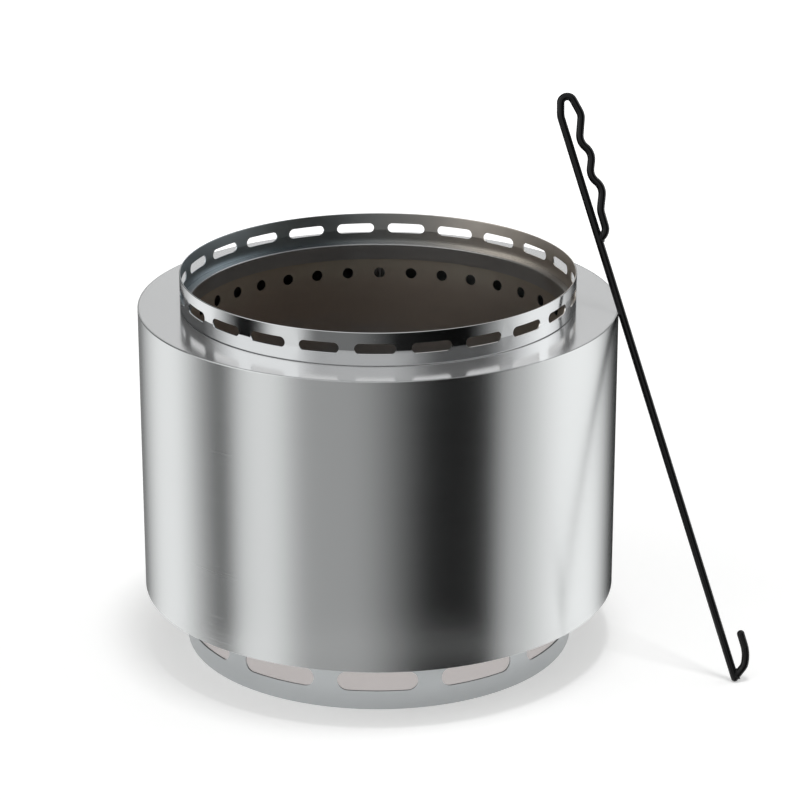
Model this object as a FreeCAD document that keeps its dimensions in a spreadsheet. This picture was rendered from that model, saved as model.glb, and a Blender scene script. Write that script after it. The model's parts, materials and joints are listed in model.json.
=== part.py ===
import FreeCAD, Part
import math
import os
import re

import Sketcher

# A smokeless fire pit: a double-walled steel drum that stands on a slotted base ring, carries a slotted
# flame ring on its deck, and holds a grate in an ash pan. Its poker leans on the rim.
# Millimetres. The ground is z = 0, the pit's axis is Z and the front is -Y.

SIZES = {
    # Whole pit
    "outer_radius": 250.0,
    "foot_height": 62.0,
    "shell_height": 308.5,
    # Fits and clearances
    "sheet_fit": 0.2,
    "hole_fit": 0.2,
    "seat_gap": 0.3,
    "weld_gap": 0.02,
    "cut_overrun": 5.0,
    # Base ring
    "base_overhang": 4.1,
    "base_wall": 2.0,
    "base_foot_width": 8.0,
    "base_ledge_width": 16.0,
    "base_round": 1.0,
    "base_slot_length": 82.3,
    "base_slot_height": 20.7,
    "base_slot_middle": 30.9,
    "base_slot_count": 12,
    # Outer shell
    "shell_wall": 1.2,
    "hem_width": 14.0,
    "rim_round": 0.4,
    # Top deck
    "deck_wall": 1.5,
    "deck_width": 51.0,
    "deck_skirt": 15.0,
    "deck_lip": 12.0,
    "deck_round": 1.2,
    # Bottom plate
    "plate_wall": 1.5,
    "intake_hole_radius": 11.0,
    "intake_inset": 20.0,
    "intake_hole_count": 24,
    # Inner wall of the burn chamber
    "chamber_wall": 1.2,
    "chamber_foot_edge": 9.7,
    "air_window_length": 60.0,
    "air_window_height": 14.0,
    "air_window_count": 12,
    "primary_hole_radius": 8.0,
    "primary_hole_rise": 22.0,
    "primary_hole_count": 36,
    "secondary_hole_radius": 6.0,
    "secondary_hole_drop": 32.5,
    "secondary_hole_count": 36,
    # Chamber floor and the rivets in its rim
    "floor_wall": 1.5,
    "floor_rise": 30.0,
    "floor_rim": 10.0,
    "floor_round": 1.0,
    "floor_rivet_count": 12,
    # Flame ring
    "collar_overhang": 7.0,
    "collar_wall": 1.5,
    "collar_height": 34.2,
    "collar_round": 0.5,
    "collar_slot_length": 41.0,
    "collar_slot_height": 10.7,
    "collar_slot_middle": 17.5,
    "collar_slot_count": 23,
    "collar_turn_angle": -0.43,
    "seat_wall": 1.5,
    "seat_clearance": 0.7,
    "seat_depth": 15.5,
    # Ash pan
    "pan_lift_clearance": 6.8,
    "pan_wall": 1.2,
    "pan_height": 38.0,
    "pan_rim_width": 14.0,
    "pan_round": 2.5,
    "pan_hole_radius": 7.0,
    "pan_hole_rise": 19.0,
    "pan_hole_count": 22,
    # Bail and its ears
    "bail_overhang": 6.0,
    "bail_wire_radius": 2.5,
    "bail_bend": 5.0,
    "bail_head_radius": 3.8,
    "bail_head_length": 2.0,
    "bail_pin_fit": 0.3,
    "bail_end_play": 0.5,
    "ear_wall": 2.0,
    "ear_width": 16.0,
    "ear_fit": 0.5,
    "ear_rivet_drop": 10.0,
    "ear_rivet_spacing": 10.0,
    "ear_count": 2,
    # Fire grate
    "grate_clearance": 8.3,
    "grate_wall": 4.0,
    "grate_rise": 28.7,
    "grate_round": 1.0,
    "grate_hole_radius": 16.0,
    "grate_slot_width": 9.0,
    "grate_hole_web": 14.0,
    "grate_leg_web": 15.0,
    "grate_rim_web": 12.0,
    "inner_slot_count": 12,
    "outer_slot_count": 24,
    "leg_radius": 5.0,
    "leg_bevel": 1.0,
    "leg_count": 4,
    # Tabs that centre the drum in the base ring
    "tab_wall": 1.5,
    "tab_width": 30.0,
    "tab_length": 22.0,
    "tab_drop": 12.0,
    "tab_clearance": 2.0,
    "tab_rivet_inset": 5.0,
    "tab_rivet_spacing": 10.0,
    "tab_count": 4,
    # Rivets
    "rivet_radius": 2.0,
    "rivet_head_radius": 3.4,
    "rivet_head_height": 1.3,
    "rivet_head_bevel": 0.7,
    # Bolts, washers and nuts of the chamber foot
    "bolt_radius": 2.5,
    "bolt_base_gap": 0.75,
    "bolt_head_radius": 4.25,
    "bolt_head_height": 2.8,
    "bolt_head_bevel": 0.8,
    "bolt_socket_radius": 1.7,
    "bolt_socket_depth": 1.4,
    "bolt_end": 1.5,
    "bolt_count": 8,
    "washer_radius": 5.0,
    "washer_wall": 1.0,
    "bolt_nut_radius": 4.6,
    "bolt_nut_height": 4.0,
    # Screws and nuts of the hem
    "screw_radius": 2.0,
    "screw_head_radius": 3.5,
    "screw_head_height": 2.2,
    "screw_head_bevel": 0.6,
    "screw_socket_radius": 1.3,
    "screw_socket_depth": 1.1,
    "screw_end": 1.2,
    "screw_count": 12,
    "screw_nut_radius": 4.0,
    "screw_nut_height": 3.2,
    # Poker
    "rod_radius": 4.0,
    "handle_start": 476.3,
    "handle_length": 154.8,
    "handle_width": 22.8,
    "bend_wide": 20.0,
    "bend_tight": 6.8,
    "bend_return": 13.2,
    "bend_wave": 15.4,
    "bend_end": 11.0,
    "hook_height": 46.3,
    "hook_reach": 19.4,
    "hook_bend": 13.0,
    "hook_sweep": 40.0,
    "rod_end_flat": 0.1,
    "rest_angle": 80.2,
    "lean_angle": 22.64,
    "lean_heading_angle": 141.63,
    "handle_turn_angle": -142.27,
}

# Corners of the handle's bends: shares of the handle's length, counted up from its welded end, and of its
# width, with the named radius of the bend.
HANDLE_CORNER_SHARES = [
    (0.862, 0.0, "bend_wide"),
    (1.1035, 0.515, "bend_tight"),
    (0.828, 0.9, "bend_return"),
    (0.661, 0.45, "bend_wave"),
    (0.569, 0.869, "bend_wave"),
    (0.425, 0.438, "bend_wave"),
    (0.332, 0.869, "bend_wave"),
    (0.19, 0.456, "bend_wave"),
    (0.042, 0.439, "bend_end"),
]
HANDLE_END_SHARES = (0.008, 0.066)

# Where the straight shaft gives way to the handle's path, as a share of the handle's length
SHAFT_TOP_SHARE = 0.54
SHAFT_TOP = f"(handle_start + {SHAFT_TOP_SHARE} * handle_length)"

# Corners of the hook's bends: shares of its height and of its reach, with the radius.
HOOK_CORNER_SHARES = [
    (0.198, 0.675, "hook_bend"),
    (0.46, 0.99, "hook_sweep"),
]

# Levels, from the ground up
HEM_TOP = "(foot_height + shell_wall)"
PLATE_TOP = f"({HEM_TOP} + plate_wall)"
FOOT_TOP = f"({PLATE_TOP} + chamber_wall)"
WASHER_TOP = f"({FOOT_TOP} + washer_wall)"
FLOOR_UNDER = f"({PLATE_TOP} + floor_rise)"
FLOOR_TOP = f"({FLOOR_UNDER} + floor_wall)"
FLOOR_RIM_FOOT = f"({FLOOR_TOP} - floor_rim)"
FLOOR_RIVET_LEVEL = f"({FLOOR_RIM_FOOT} + rivet_head_radius + sheet_fit)"
PAN_UNDER = f"({FLOOR_TOP} + seat_gap)"
PAN_FLOOR = f"({PAN_UNDER} + pan_wall)"
PAN_RIM = f"({PAN_UNDER} + pan_height)"
GRATE_UNDER = f"({PAN_FLOOR} + seat_gap + grate_rise)"
BAIL_LEVEL = f"({PAN_RIM} + seat_gap + bail_wire_radius)"
EAR_RIVET_HIGH = f"({BAIL_LEVEL} - ear_rivet_drop)"
EAR_RIVET_LOW = f"({EAR_RIVET_HIGH} - ear_rivet_spacing)"
EAR_RIVET_LEVELS = {"low_rivet": EAR_RIVET_LOW, "high_rivet": EAR_RIVET_HIGH}
DECK_TOP = "(foot_height + shell_height)"
DECK_UNDER = f"({DECK_TOP} - deck_wall)"
COLLAR_FOOT = f"({DECK_TOP} + seat_gap)"

# Radii of the drum and the chamber, from the outside in
SHELL_INNER = "(outer_radius - shell_wall)"
DECK_OUTER = f"({SHELL_INNER} - sheet_fit)"
HEM_INNER = "(outer_radius - hem_width)"
SCREW_CIRCLE = "(outer_radius - hem_width / 2)"
DECK_OPENING = "(outer_radius - deck_width)"
CHAMBER_INNER = f"({DECK_OPENING} + deck_wall + sheet_fit)"
CHAMBER_OUTER = f"({CHAMBER_INNER} + chamber_wall)"
FLOOR_OUTER = f"({CHAMBER_INNER} - sheet_fit)"

# Radii of the flame ring
COLLAR_OUTER = f"({DECK_OPENING} + collar_overhang)"
COLLAR_INNER = f"({COLLAR_OUTER} - collar_wall)"
SEAT_OUTER = f"({DECK_OPENING} - seat_clearance)"
SEAT_INNER = f"({SEAT_OUTER} - seat_wall)"

# Radii of the base ring and of what is fastened round it
BASE_OUTER = f"({CHAMBER_OUTER} + base_overhang)"
LEDGE_OPENING = f"({BASE_OUTER} - base_ledge_width)"
TAB_OUTER = f"({LEDGE_OPENING} - tab_clearance)"
TAB_INNER = f"({TAB_OUTER} - tab_length)"
INTAKE_CIRCLE = f"({TAB_INNER} - intake_inset)"
BOLT_CIRCLE = f"({BASE_OUTER} + bolt_base_gap + bolt_head_radius)"
FOOT_OUTER = f"({BOLT_CIRCLE} + chamber_foot_edge)"

# Radii of what lifts out of the chamber
PAN_RIM_OUTER = f"({SEAT_INNER} - pan_lift_clearance)"
PAN_OUTER = f"({PAN_RIM_OUTER} - pan_rim_width)"
PAN_INNER = f"({PAN_OUTER} - pan_wall)"
BAIL_BOW = f"({PAN_OUTER} + bail_overhang)"
EAR_OUTER = f"({PAN_INNER} - ear_fit)"
EAR_INNER = f"({EAR_OUTER} - ear_wall)"
GRATE_OUTER = f"({EAR_INNER} - grate_clearance)"
INNER_SLOT_START = "(grate_hole_radius + grate_hole_web)"
OUTER_SLOT_END = f"({GRATE_OUTER} - grate_rim_web)"
LEG_CIRCLE = f"(({INNER_SLOT_START} + {OUTER_SLOT_END}) / 2)"
INNER_SLOT_END = f"({LEG_CIRCLE} - grate_leg_web / 2)"
OUTER_SLOT_START = f"({LEG_CIRCLE} + grate_leg_web / 2)"

# How a sketch numbers an item's ends and centre, and its own axes
START, END, CENTRE = range(1, 4)
X_LINE, Y_LINE = range(-1, -3, -1)
ORIGIN_POINT = (X_LINE, START)

WHOLE_ANGLE, QUARTER_ANGLE = 360, 90
ZERO_TOLERANCE = 1e-9
EDGE_TOLERANCE = 1e-4
VOLUME_TOLERANCE = 1e-3

DOC = FreeCAD.newDocument("smokeless_fire_pit")
SHEET = DOC.addObject("Spreadsheet::Sheet", "sizes")


def fill_sheet():
    """Write every driving size into the sheet under its own alias."""
    for row, (name, size) in enumerate(SIZES.items(), 1):
        SHEET.set(f"A{row}", name)
        SHEET.set(f"B{row}", str(size))
        SHEET.setAlias(f"B{row}", name)
    DOC.recompute()


def bound(text):
    """The expression with each size in it looked up in the sheet."""
    return re.sub(r"[a-z_]+", lambda word: f"sizes.{word[0]}" if word[0] in SIZES else word[0], text)


def size_of(text):
    """The number that an expression of sizes gives."""
    return float(SHEET.evalExpression(bound(text)))


def spot(x, y):
    """A sketch point at two expressions."""
    return FreeCAD.Vector(size_of(x), size_of(y), 0)


def bind(item, prop, text):
    """Bind a property of a document object to an expression of sizes."""
    item.setExpression(prop, bound(text))


def new_body(name):
    """A body whose label is the sub-part's name."""
    body = DOC.addObject("PartDesign::Body", name)
    body.Label = name
    return body


def origin_item(body, role):
    """One plane or axis of a body's own origin."""
    return next(item for item in body.Origin.OriginFeatures if item.Role == role)


def new_sketch(body, name, role, offset=None):
    """A sketch on one of the body's origin planes, set off along its normal where that is asked for."""
    sketch = body.newObject("Sketcher::SketchObject", name)
    sketch.AttachmentSupport = [(origin_item(body, role), "")]
    sketch.MapMode = "FlatFace"
    if offset:
        bind(sketch, "AttachmentOffset.Base.z", offset)
    return sketch


def drive(sketch, text, *constraint):
    """Add a constraint whose size follows an expression."""
    index = sketch.addConstraint(Sketcher.Constraint(*constraint, size_of(text)))
    sketch.setExpression(f"Constraints[{index}]", bound(text))


def pin(sketch, item, end, x, y):
    """Hold a point of a sketch item at two expressions."""
    for kind, text, line in (("DistanceX", x, Y_LINE), ("DistanceY", y, X_LINE)):
        if abs(size_of(text)) < ZERO_TOLERANCE:
            sketch.addConstraint(Sketcher.Constraint("PointOnObject", item, end, line))
        elif size_of(text) > 0:
            drive(sketch, text, kind, *ORIGIN_POINT, item, end)
        else:
            drive(sketch, f"-({text})", kind, item, end, *ORIGIN_POINT)


def outline(sketch, points):
    """A closed outline of straight lines through points given as pairs of expressions."""
    lines = []
    for start, end in zip(points, points[1:] + points[:1]):
        lines.append(sketch.addGeometry(Part.LineSegment(spot(*start), spot(*end)), False))
    for before, line, (x, y) in zip(lines[-1:] + lines[:-1], lines, points):
        sketch.addConstraint(Sketcher.Constraint("Coincident", before, END, line, START))
        pin(sketch, line, START, x, y)
    return lines


def hexagon(sketch, x, radius):
    """A regular hexagon on the sketch's X axis, from its centre and its corner radius."""
    sides = 6
    corners = [WHOLE_ANGLE * side / sides for side in range(sides)]
    outline(sketch, [(f"{x} + {radius} * cos({angle})", f"{radius} * sin({angle})") for angle in corners])


def circle(sketch, x, y, radius):
    """A circle in a sketch."""
    ring = Part.Circle(spot(x, y), FreeCAD.Vector(0, 0, 1), size_of(radius))
    item = sketch.addGeometry(ring, False)
    pin(sketch, item, CENTRE, x, y)
    drive(sketch, radius, "Radius", item)


def add_arc(sketch, centre, radius, first, last):
    """An arc in a sketch, from one angle to another in radians."""
    ring = Part.Circle(centre, FreeCAD.Vector(0, 0, 1), radius)
    return sketch.addGeometry(Part.ArcOfCircle(ring, first, last), False)


def join(sketch, kind, first, first_end, second, second_end):
    """Join the ends of two sketch items, with a corner or a tangent."""
    sketch.addConstraint(Sketcher.Constraint(kind, first, first_end, second, second_end))


def obround(sketch, low, high, radius):
    """An outline with round ends about two centres, each a pair of expressions."""
    low_at, high_at, reach = spot(*low), spot(*high), size_of(radius)
    along = (high_at - low_at).normalize()
    side = FreeCAD.Vector(-along.y, along.x, 0) * reach
    angle = math.atan2(along.y, along.x)
    quarter = math.pi / 2
    far = add_arc(sketch, high_at, reach, angle - quarter, angle + quarter)
    near = add_arc(sketch, low_at, reach, angle + quarter, angle + 3 * quarter)
    left = sketch.addGeometry(Part.LineSegment(high_at + side, low_at + side), False)
    right = sketch.addGeometry(Part.LineSegment(low_at - side, high_at - side), False)
    join(sketch, "Tangent", far, END, left, START)
    join(sketch, "Tangent", left, END, near, START)
    join(sketch, "Tangent", near, END, right, START)
    join(sketch, "Tangent", right, END, far, START)
    pin(sketch, far, CENTRE, *high)
    pin(sketch, near, CENTRE, *low)
    drive(sketch, radius, "Radius", far)


def bent_path(sketch, first, corners, last):
    """Straight runs from corner to corner, each corner rounded by a tangent arc of its own radius."""
    points = [spot(*first)] + [spot(x, y) for x, y, _ in corners] + [spot(*last)]
    runs = [(end - start).normalize() for start, end in zip(points, points[1:])]
    start, line = points[0], None
    for place, (x, y, radius) in enumerate(corners):
        into, out_of, corner = runs[place], runs[place + 1], points[place + 1]
        reach = size_of(radius) * math.tan(into.getAngle(out_of) / 2)
        arc_start, arc_end = corner - into * reach, corner + out_of * reach
        run = sketch.addGeometry(Part.LineSegment(start, arc_start), False)
        if line is None:
            pin(sketch, run, START, *first)
        else:
            join(sketch, "Tangent", line, line_end, run, START)
        turns_left = into.cross(out_of).z > 0
        side = FreeCAD.Vector(-into.y, into.x, 0) * (1 if turns_left else -1)
        centre = arc_start + side * size_of(radius)
        ends = (arc_start, arc_end) if turns_left else (arc_end, arc_start)
        angles = [math.atan2(point.y - centre.y, point.x - centre.x) for point in ends]
        line = add_arc(sketch, centre, size_of(radius), *angles)
        near_end, line_end = (START, END) if turns_left else (END, START)
        join(sketch, "Tangent", run, END, line, near_end)
        drive(sketch, radius, "Radius", line)
        mark = sketch.addGeometry(Part.Point(corner), True)
        pin(sketch, mark, START, x, y)
        sketch.addConstraint(Sketcher.Constraint("PointOnObject", mark, START, run))
        if place:
            sketch.addConstraint(Sketcher.Constraint("PointOnObject", last_mark, START, run))
        last_mark, start = mark, arc_end
    run = sketch.addGeometry(Part.LineSegment(start, points[-1]), False)
    join(sketch, "Tangent", line, line_end, run, START)
    sketch.addConstraint(Sketcher.Constraint("PointOnObject", last_mark, START, run))
    pin(sketch, run, END, *last)


def feature(body, kind, name, sketch):
    """A feature of a body that is made from a sketch."""
    item = body.newObject(f"PartDesign::{kind}", name)
    item.Profile = sketch
    return item


def ring(body, name, points):
    """A body turned about the pit's axis from points given as (radius, level)."""
    sketch = new_sketch(body, f"{name}_section", "XZ_Plane")
    outline(sketch, points)
    item = feature(body, "Revolution", name, sketch)
    item.ReferenceAxis = (sketch, ["V_Axis"])
    DOC.recompute()
    return item


def turned(body, name, points):
    """A piece turned about the line from its outline's last point to its first."""
    sketch = new_sketch(body, f"{name}_section", "XZ_Plane")
    lines = outline(sketch, points)
    axis = sketch.addGeometry(Part.LineSegment(spot(*points[-1]), spot(*points[0])), True)
    join(sketch, "Coincident", axis, START, lines[-1], START)
    join(sketch, "Coincident", axis, END, lines[0], START)
    item = feature(body, "Revolution", name, sketch)
    item.ReferenceAxis = (sketch, ["Axis0"])
    DOC.recompute()
    return item


def round_rims(body, name, radius, rims):
    """Round the whole circles of a body that lie at (radius, level)."""
    base = body.Tip
    places = [(size_of(across), size_of(level)) for across, level in rims]
    names = []
    for number, edge in enumerate(base.Shape.Edges, 1):
        curve = edge.Curve
        if isinstance(curve, Part.Circle) and edge.isClosed():
            at = (curve.Radius, curve.Center.z)
            if any(math.dist(at, place) < EDGE_TOLERANCE for place in places):
                names.append(f"Edge{number}")
    if len(names) != len(rims):
        raise RuntimeError(f"{body.Label}: found {len(names)} of {len(rims)} rims to round")
    item = body.newObject("PartDesign::Fillet", name)
    item.Base = (base, names)
    bind(item, "Radius", radius)
    DOC.recompute()


def cut(body, name, sketch, length):
    """Cut a sketch's outline away from its plane, frontwards or upwards, and see that it cut."""
    before = body.Shape.Volume
    item = feature(body, "Pocket", name, sketch)
    item.Reversed = True
    bind(item, "Length", length)
    DOC.recompute()
    if body.Shape.Volume > before - VOLUME_TOLERANCE:
        raise RuntimeError(f"{body.Label}: {name} cuts nothing")
    return item


def pattern(body, name, originals, count):
    """Repeat features evenly about the pit's axis."""
    item = body.newObject("PartDesign::PolarPattern", name)
    item.Originals = originals
    item.Axis = (origin_item(body, "Z_Axis"), [""])
    item.Angle = WHOLE_ANGLE
    bind(item, "Occurrences", count)
    body.Tip = item
    DOC.recompute()
    return item


def flat_inside(inner, half_width):
    """How far from the axis a flat face of some half width meets the inside of a round wall."""
    return f"sqrt({inner} * {inner} - {half_width} * {half_width})"


def inside_wall(inner, half_width):
    """How far from the axis a cut of some half width starts, to be just inside a round wall."""
    return f"({flat_inside(inner, half_width)} - cut_overrun)"


def wall_holes(body, name, radius, level, inner, outer, count):
    """A row of round holes through an upright wall, the first at the front."""
    start = inside_wall(inner, f"({radius})")
    sketch = new_sketch(body, f"{name}_outline", "XZ_Plane", start)
    circle(sketch, "0", level, radius)
    hole = cut(body, f"{name}_first", sketch, f"{outer} + cut_overrun - {start}")
    pattern(body, name, [hole], count)


def wall_slots(body, name, length, height, level, inner, outer, count):
    """A row of slots with round ends through an upright wall, the first at the front."""
    start = inside_wall(inner, f"({length} / 2)")
    sketch = new_sketch(body, f"{name}_outline", "XZ_Plane", start)
    half = f"({length} - {height}) / 2"
    obround(sketch, (f"-({half})", level), (half, level), f"{height} / 2")
    slot = cut(body, f"{name}_first", sketch, f"{outer} + cut_overrun - {start}")
    pattern(body, name, [slot], count)


def floor_holes(body, name, radius, place, level, count):
    """A circle of round holes through a flat sheet, up to a level."""
    sketch = new_sketch(body, f"{name}_outline", "XY_Plane")
    circle(sketch, place, "0", radius)
    hole = cut(body, f"{name}_first", sketch, f"{level} + cut_overrun")
    pattern(body, name, [hole], count)


def turn(body, angle):
    """Turn a body about the pit's axis by an expression in degrees."""
    body.Placement = FreeCAD.Placement(
        FreeCAD.Vector(), FreeCAD.Rotation(FreeCAD.Vector(0, 0, 1), size_of(angle)))


def base_ring():
    """The slotted ring that the drum stands on: a wall with a foot and a ledge turned inwards."""
    body = new_body("base_ring")
    ledge_top = f"({HEM_TOP} - seat_gap)"
    foot_inner = f"({BASE_OUTER} - base_foot_width)"
    wall_inner = f"({BASE_OUTER} - base_wall)"
    ring(body, "base_wall_ring", [
        (foot_inner, "0"), (BASE_OUTER, "0"), (BASE_OUTER, ledge_top), (LEDGE_OPENING, ledge_top),
        (LEDGE_OPENING, f"{ledge_top} - base_wall"), (wall_inner, f"{ledge_top} - base_wall"),
        (wall_inner, "base_wall"), (foot_inner, "base_wall")])
    round_rims(body, "base_bends", "base_round", [(BASE_OUTER, "0"), (BASE_OUTER, ledge_top)])
    wall_slots(body, "base_slots", "base_slot_length", "base_slot_height", "base_slot_middle",
               wall_inner, BASE_OUTER, "base_slot_count")


def outer_shell():
    """The brushed drum, with a hem turned in at its lower edge."""
    body = new_body("outer_shell")
    ring(body, "shell_wall_ring", [
        (HEM_INNER, "foot_height"), ("outer_radius", "foot_height"), ("outer_radius", DECK_TOP),
        (SHELL_INNER, DECK_TOP), (SHELL_INNER, HEM_TOP), (HEM_INNER, HEM_TOP)])
    round_rims(body, "shell_rims", "rim_round", [("outer_radius", DECK_TOP), ("outer_radius", "foot_height")])
    floor_holes(body, "hem_holes", "screw_radius + hole_fit", SCREW_CIRCLE, HEM_TOP, "screw_count")


def top_deck():
    """The flat deck, with a skirt inside the shell and a lip round the opening."""
    body = new_body("top_deck")
    skirt_inner = f"({DECK_OUTER} - deck_wall)"
    lip_outer = f"({DECK_OPENING} + deck_wall)"
    ring(body, "deck_sheet", [
        (DECK_OUTER, f"{DECK_TOP} - deck_skirt"), (DECK_OUTER, DECK_TOP), (DECK_OPENING, DECK_TOP),
        (DECK_OPENING, f"{DECK_TOP} - deck_lip"), (lip_outer, f"{DECK_TOP} - deck_lip"),
        (lip_outer, DECK_UNDER), (skirt_inner, DECK_UNDER), (skirt_inner, f"{DECK_TOP} - deck_skirt")])
    round_rims(body, "deck_bends", "deck_round", [(DECK_OPENING, DECK_TOP)])


def bottom_plate():
    """The plate that lies on the hem and carries the chamber, with its air intake holes."""
    body = new_body("bottom_plate")
    ring(body, "plate_disc", [("0", HEM_TOP), (DECK_OUTER, HEM_TOP), (DECK_OUTER, PLATE_TOP), ("0", PLATE_TOP)])
    floor_holes(body, "intake_holes", "intake_hole_radius", INTAKE_CIRCLE, PLATE_TOP, "intake_hole_count")
    floor_holes(body, "screw_holes", "screw_radius + hole_fit", SCREW_CIRCLE, PLATE_TOP, "screw_count")
    floor_holes(body, "bolt_holes", "bolt_radius + hole_fit", BOLT_CIRCLE, PLATE_TOP, "bolt_count")
    for name, place in tab_rivet_places():
        floor_holes(body, f"{name}_holes", "rivet_radius + hole_fit", place, PLATE_TOP, "tab_count")


def inner_wall():
    """The burn chamber's wall, with air windows low down and two rows of air holes."""
    body = new_body("inner_wall")
    ring(body, "chamber_ring", [
        (CHAMBER_INNER, PLATE_TOP), (FOOT_OUTER, PLATE_TOP), (FOOT_OUTER, FOOT_TOP),
        (CHAMBER_OUTER, FOOT_TOP), (CHAMBER_OUTER, DECK_UNDER), (CHAMBER_INNER, DECK_UNDER)])
    floor_holes(body, "foot_holes", "bolt_radius + hole_fit", BOLT_CIRCLE, FOOT_TOP, "bolt_count")
    wall_slots(body, "air_windows", "air_window_length", "air_window_height",
               f"({PLATE_TOP} + {FLOOR_RIM_FOOT}) / 2", CHAMBER_INNER, CHAMBER_OUTER, "air_window_count")
    wall_holes(body, "rivet_holes", "rivet_radius + hole_fit", FLOOR_RIVET_LEVEL, CHAMBER_INNER,
               CHAMBER_OUTER, "floor_rivet_count")
    wall_holes(body, "primary_holes", "primary_hole_radius", f"{FLOOR_TOP} + primary_hole_rise",
               CHAMBER_INNER, CHAMBER_OUTER, "primary_hole_count")
    wall_holes(body, "secondary_holes", "secondary_hole_radius", f"{DECK_TOP} - secondary_hole_drop",
               CHAMBER_INNER, CHAMBER_OUTER, "secondary_hole_count")


def chamber_floor():
    """The floor that the ash pan stands on, with a rim turned down and riveted to the wall."""
    body = new_body("chamber_floor")
    rim_inner = f"({FLOOR_OUTER} - floor_wall)"
    ring(body, "floor_sheet", [
        ("0", FLOOR_UNDER), (rim_inner, FLOOR_UNDER), (rim_inner, FLOOR_RIM_FOOT),
        (FLOOR_OUTER, FLOOR_RIM_FOOT), (FLOOR_OUTER, FLOOR_TOP), ("0", FLOOR_TOP)])
    round_rims(body, "floor_bend", "floor_round", [(FLOOR_OUTER, FLOOR_TOP)])
    wall_holes(body, "rim_holes", "rivet_radius + hole_fit", FLOOR_RIVET_LEVEL, rim_inner, FLOOR_OUTER,
               "floor_rivet_count")


def rivet(body, name, low, high, at, level=None):
    """A rivet with a head at both ends of its grip: upright at a radius, or level at a height."""
    def place(along, across):
        return (f"{at} + {across}", along) if level is None else (along, f"{level} + {across}")
    foot, crown = f"({low} - rivet_head_height)", f"({high} + rivet_head_height)"
    flat = "(rivet_head_radius - rivet_head_bevel)"
    return turned(body, name, [
        place(foot, "0"), place(foot, flat), place(f"{foot} + rivet_head_bevel", "rivet_head_radius"),
        place(low, "rivet_head_radius"), place(low, "rivet_radius"), place(high, "rivet_radius"),
        place(high, "rivet_head_radius"), place(f"{crown} - rivet_head_bevel", "rivet_head_radius"),
        place(crown, flat), place(crown, "0")])


def floor_rivets():
    """The rivets that hold the floor's rim in the chamber."""
    body = new_body("floor_rivets")
    inner_face = flat_inside(f"({FLOOR_OUTER} - floor_wall)", "rivet_head_radius")
    first = rivet(body, "floor_rivet", inner_face, CHAMBER_OUTER, None, FLOOR_RIVET_LEVEL)
    pattern(body, "floor_rivet_row", [first], "floor_rivet_count")
    turn(body, f"-{QUARTER_ANGLE}")


def tab_rivet_places():
    """The name and radius of each of a tab's two rivets."""
    inner = f"({TAB_INNER} + tab_rivet_inset)"
    return [("inner_rivet", inner), ("outer_rivet", f"({inner} + tab_rivet_spacing)")]


def stand_tabs():
    """The angle tabs under the plate that drop inside the base ring's ledge."""
    body = new_body("stand_tabs")
    sketch = new_sketch(body, "tab_section", "XZ_Plane")
    outline(sketch, [
        (TAB_INNER, f"{HEM_TOP} - tab_wall"), (f"{TAB_OUTER} - tab_wall", f"{HEM_TOP} - tab_wall"),
        (f"{TAB_OUTER} - tab_wall", f"{HEM_TOP} - tab_drop"), (TAB_OUTER, f"{HEM_TOP} - tab_drop"),
        (TAB_OUTER, HEM_TOP), (TAB_INNER, HEM_TOP)])
    tab = feature(body, "Pad", "tab", sketch)
    tab.SideType = "Symmetric"
    bind(tab, "Length", "tab_width")
    DOC.recompute()
    holes = []
    for name, place in tab_rivet_places():
        hole_sketch = new_sketch(body, f"{name}_outline", "XY_Plane")
        circle(hole_sketch, place, "0", "rivet_radius + hole_fit")
        holes.append(cut(body, f"{name}_hole", hole_sketch, f"{HEM_TOP} + cut_overrun"))
    pattern(body, "tab_ring", [tab] + holes, "tab_count")


def tab_rivets():
    """The rivets that hold the tabs to the plate."""
    body = new_body("tab_rivets")
    tab_under = f"({HEM_TOP} - tab_wall)"
    pair = [rivet(body, name, tab_under, PLATE_TOP, place) for name, place in tab_rivet_places()]
    pattern(body, "tab_rivet_ring", pair, "tab_count")


def socket_screws(label, kind, at, under, top):
    """A circle of pan head screws, heads down, with a hexagon socket in each head."""
    body = new_body(label)
    foot = f"({under} - {kind}_head_height)"
    tip = f"({top} + {kind}_end)"
    screw = turned(body, kind, [
        (at, foot), (f"{at} + {kind}_head_radius - {kind}_head_bevel", foot),
        (f"{at} + {kind}_head_radius", f"{foot} + {kind}_head_bevel"), (f"{at} + {kind}_head_radius", under),
        (f"{at} + {kind}_radius", under), (f"{at} + {kind}_radius", tip), (at, tip)])
    sketch = new_sketch(body, f"{kind}_socket_outline", "XY_Plane", foot)
    hexagon(sketch, at, f"{kind}_socket_radius")
    socket = cut(body, f"{kind}_socket", sketch, f"{kind}_socket_depth")
    pattern(body, f"{label}_ring", [screw, socket], f"{kind}_count")


def hexagon_nuts(label, kind, at, under):
    """A circle of hexagon nuts on their screws."""
    body = new_body(label)
    sketch = new_sketch(body, f"{kind}_nut_outline", "XY_Plane", under)
    hexagon(sketch, at, f"{kind}_nut_radius")
    circle(sketch, at, "0", f"{kind}_radius + hole_fit")
    nut = feature(body, "Pad", f"{kind}_nut", sketch)
    bind(nut, "Length", f"{kind}_nut_height")
    DOC.recompute()
    pattern(body, f"{label}_ring", [nut], f"{kind}_count")


def chamber_washers():
    """The washers between the chamber's foot and its nuts."""
    body = new_body("chamber_washers")
    sketch = new_sketch(body, "washer_outline", "XY_Plane", FOOT_TOP)
    circle(sketch, BOLT_CIRCLE, "0", "washer_radius")
    circle(sketch, BOLT_CIRCLE, "0", "bolt_radius + hole_fit")
    washer = feature(body, "Pad", "washer", sketch)
    bind(washer, "Length", "washer_wall")
    DOC.recompute()
    pattern(body, "washer_ring", [washer], "bolt_count")


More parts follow.
